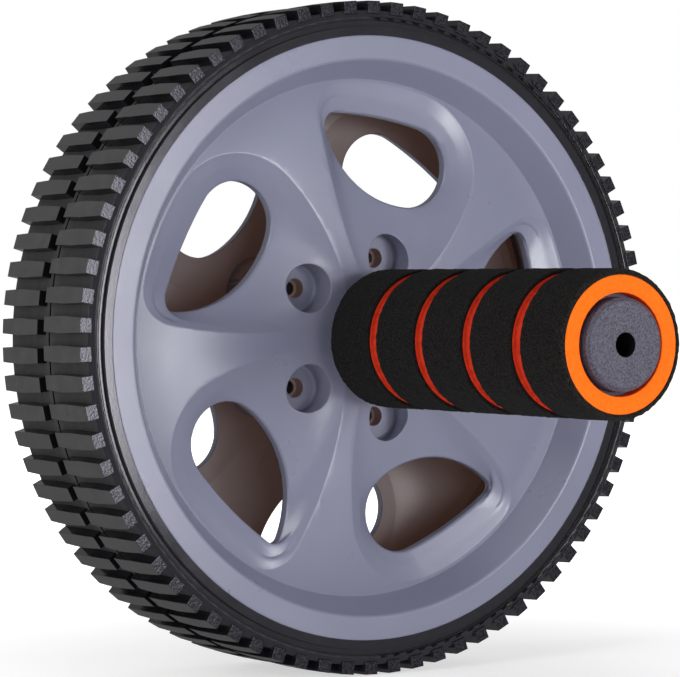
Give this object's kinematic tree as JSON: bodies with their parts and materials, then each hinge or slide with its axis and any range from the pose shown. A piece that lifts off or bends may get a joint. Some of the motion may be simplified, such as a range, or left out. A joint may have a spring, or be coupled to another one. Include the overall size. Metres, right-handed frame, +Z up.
{
  "type": "ab wheel roller",
  "caption": "Ab wheel roller: a wide spoked plastic wheel with lugged rubber tyres, free to turn on an axle between foam-covered handles with contrast grooves.",
  "frame": {"origin": "middle of the wheel, on the axle's axis and on the plane where the two wheel halves meet", "axes": "+Y along the axle towards the left handle, +Z up, +X the way the wheel rolls; the pictured near side is -Y"},
  "size_m": [0.19, 0.2698, 0.19],
  "materials": {
    "wheel_plastic": "satin moulded plastic",
    "tyre_rubber": "matte moulded rubber",
    "screw_steel": "black zinc",
    "bush_plastic": "matte",
    "axle_steel": "drawn tube",
    "washer_plastic": "matte",
    "core_plastic": "matte moulded plastic",
    "inner_foam": "closed-cell foam",
    "outer_foam": "closed-cell foam"
  },
  "bodies": {
    "handle_bar": {"axle": "axle_steel", "right_thrust_washer": "washer_plastic", "left_thrust_washer": "washer_plastic", "right_handle_core": "core_plastic", "left_handle_core": "core_plastic", "right_grip_sleeve": "inner_foam", "left_grip_sleeve": "inner_foam", "right_grip_band_1": "outer_foam", "right_grip_band_2": "outer_foam", "right_grip_band_3": "outer_foam", "right_grip_band_4": "outer_foam", "right_grip_band_5": "outer_foam", "left_grip_band_1": "outer_foam", "left_grip_band_2": "outer_foam", "left_grip_band_3": "outer_foam", "left_grip_band_4": "outer_foam", "left_grip_band_5": "outer_foam"},
    "wheel": {"right_wheel_half": "wheel_plastic", "left_wheel_half": "wheel_plastic", "right_tyre": "tyre_rubber", "left_tyre": "tyre_rubber", "assembly_screws": "screw_steel", "right_hub_bush": "bush_plastic", "left_hub_bush": "bush_plastic"}
  },
  "joints": [
    {"name": "wheel_spin", "type": "hinge", "parent": "handle_bar", "child": "wheel", "pos_m": [0, 0, 0], "axis": [0, 1, 0], "continuous": true}
  ]
}
